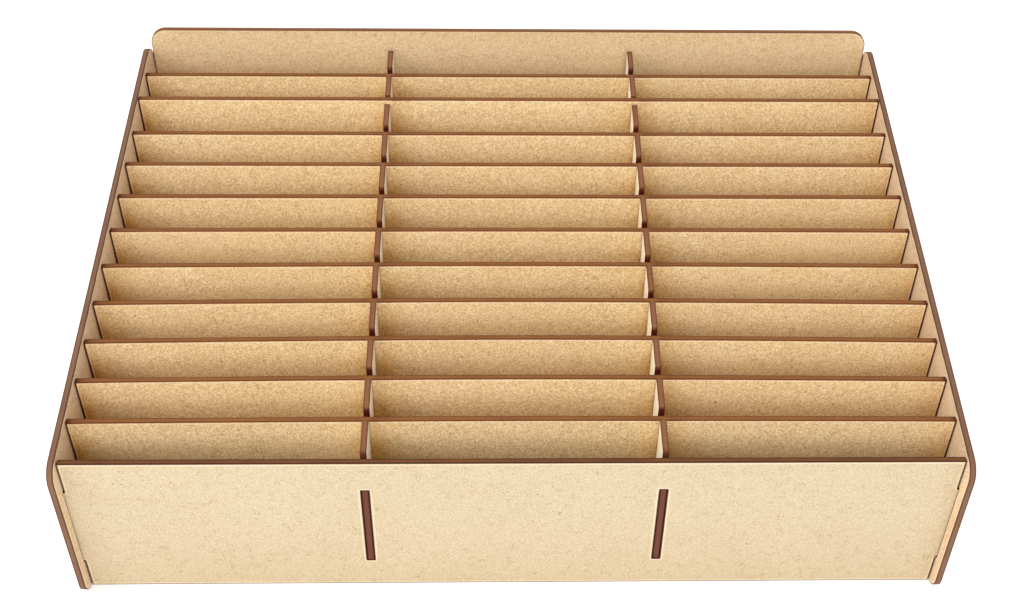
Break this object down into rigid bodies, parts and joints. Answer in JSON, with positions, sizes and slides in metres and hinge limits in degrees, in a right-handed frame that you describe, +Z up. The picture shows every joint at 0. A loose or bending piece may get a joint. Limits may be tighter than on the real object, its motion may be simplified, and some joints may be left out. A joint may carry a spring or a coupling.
{
  "type": "paint rack organizer",
  "caption": "Stepped fibreboard desk rack: side, front, back and base panels tabbed together round two partitions, with lift-out cross dividers that make rows of narrow compartments.",
  "frame": {"origin": "middle of the rack's footprint, on the surface it stands on", "axes": "+X to the right along the rack's width, +Y from the low front to the tall back, +Z up"},
  "size_m": [0.423, 0.286, 0.1545],
  "materials": {
    "fibreboard": "raw medium-density fibreboard, matt, with scorched laser-cut edges"
  },
  "bodies": {
    "rack": {"left_side_panel": "fibreboard", "right_side_panel": "fibreboard", "front_panel": "fibreboard", "back_panel": "fibreboard", "base_panel": "fibreboard", "left_partition": "fibreboard", "right_partition": "fibreboard"},
    "divider_01_board": {"divider_01": "fibreboard"},
    "divider_02_board": {"divider_02": "fibreboard"},
    "divider_03_board": {"divider_03": "fibreboard"},
    "divider_04_board": {"divider_04": "fibreboard"},
    "divider_05_board": {"divider_05": "fibreboard"},
    "divider_06_board": {"divider_06": "fibreboard"},
    "divider_07_board": {"divider_07": "fibreboard"},
    "divider_08_board": {"divider_08": "fibreboard"},
    "divider_09_board": {"divider_09": "fibreboard"},
    "divider_10_board": {"divider_10": "fibreboard"},
    "divider_11_board": {"divider_11": "fibreboard"}
  },
  "joints": [
    {"name": "lift_01", "type": "slide", "parent": "rack", "child": "divider_01_board", "axis": [0, 0, 1], "range_m": [0, 0.0848]},
    {"name": "lift_02", "type": "slide", "parent": "rack", "child": "divider_02_board", "axis": [0, 0, 1], "range_m": [0, 0.0895]},
    {"name": "lift_03", "type": "slide", "parent": "rack", "child": "divider_03_board", "axis": [0, 0, 1], "range_m": [0, 0.0943]},
    {"name": "lift_04", "type": "slide", "parent": "rack", "child": "divider_04_board", "axis": [0, 0, 1], "range_m": [0, 0.099]},
    {"name": "lift_05", "type": "slide", "parent": "rack", "child": "divider_05_board", "axis": [0, 0, 1], "range_m": [0, 0.1038]},
    {"name": "lift_06", "type": "slide", "parent": "rack", "child": "divider_06_board", "axis": [0, 0, 1], "range_m": [0, 0.1085]},
    {"name": "lift_07", "type": "slide", "parent": "rack", "child": "divider_07_board", "axis": [0, 0, 1], "range_m": [0, 0.1133]},
    {"name": "lift_08", "type": "slide", "parent": "rack", "child": "divider_08_board", "axis": [0, 0, 1], "range_m": [0, 0.118]},
    {"name": "lift_09", "type": "slide", "parent": "rack", "child": "divider_09_board", "axis": [0, 0, 1], "range_m": [0, 0.1228]},
    {"name": "lift_10", "type": "slide", "parent": "rack", "child": "divider_10_board", "axis": [0, 0, 1], "range_m": [0, 0.1243]},
    {"name": "lift_11", "type": "slide", "parent": "rack", "child": "divider_11_board", "axis": [0, 0, 1], "range_m": [0, 0.1323]}
  ]
}
